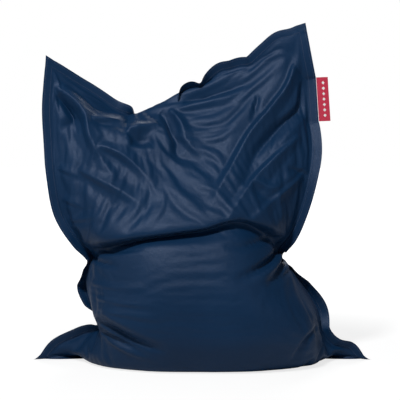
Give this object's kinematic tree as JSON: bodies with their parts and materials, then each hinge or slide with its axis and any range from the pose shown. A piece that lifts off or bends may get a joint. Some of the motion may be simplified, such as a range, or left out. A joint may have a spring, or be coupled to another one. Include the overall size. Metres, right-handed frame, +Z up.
{
  "type": "bean bag chair",
  "caption": "Large pillow-shaped floor bag of beads stood on one edge, slumped into a lounge seat with a raised back, pointed corners and a flat sewn flange.",
  "frame": {"origin": "on the floor, under the middle of the bag's box", "axes": "+X to the sitter's left as seen from the front, that is the viewer's right; +Y to the rear; +Z up"},
  "size_m": [1.316, 0.6856, 1.358],
  "materials": {
    "cover": "satin coated nylon, navy",
    "beads": "loose white expanded polystyrene beads",
    "thread": "bonded polyester thread, navy",
    "tape": "woven tape, navy",
    "hook_and_loop": "hook and loop tape, dark navy",
    "coil": "nylon coil, dark navy",
    "zip_metal": "enamelled zinc, dark",
    "tag": "woven satin tag, red",
    "motif": "woven white motif",
    "care": "plain white satin strip"
  },
  "bodies": {
    "bag": {"front_panel": "cover", "back_panel": "cover", "bead_fill": "beads", "flange_stitch_outer": "thread", "flange_stitch_inner": "thread", "zip_tape_upper": "tape", "zip_tape_lower": "tape", "zip_coil_upper": "coil", "zip_coil_lower": "coil", "zip_stop_left": "zip_metal", "zip_stop_right": "zip_metal", "zip_stitch": "thread", "panel_loop_tape": "hook_and_loop", "flap_binding": "cover", "loop_tape_stitch": "thread", "care_label": "care"},
    "slider": {"zip_slider": "zip_metal"},
    "flap": {"closure_flap": "cover", "flap_hook_tape": "hook_and_loop", "flap_stitch": "thread"},
    "label": {"side_label": "tag", "label_motif": "motif", "label_stitch": "thread"}
  },
  "joints": [
    {"name": "zip_slide", "type": "slide", "parent": "bag", "child": "slider", "axis": [-1, 0, 0], "range_m": [0, 0.374]},
    {"name": "flap_hinge", "type": "hinge", "parent": "bag", "child": "flap", "pos_m": [-0.015, 0.33805, 0.2017], "axis": [1, 0, 0], "range_deg": [0, 150]},
    {"name": "label_fold", "type": "hinge", "parent": "bag", "child": "label", "pos_m": [0.46832, 0.10564, 1.04106], "axis": [-0.0507, 0.2145, 0.9754], "range_deg": [-60, 60]}
  ]
}
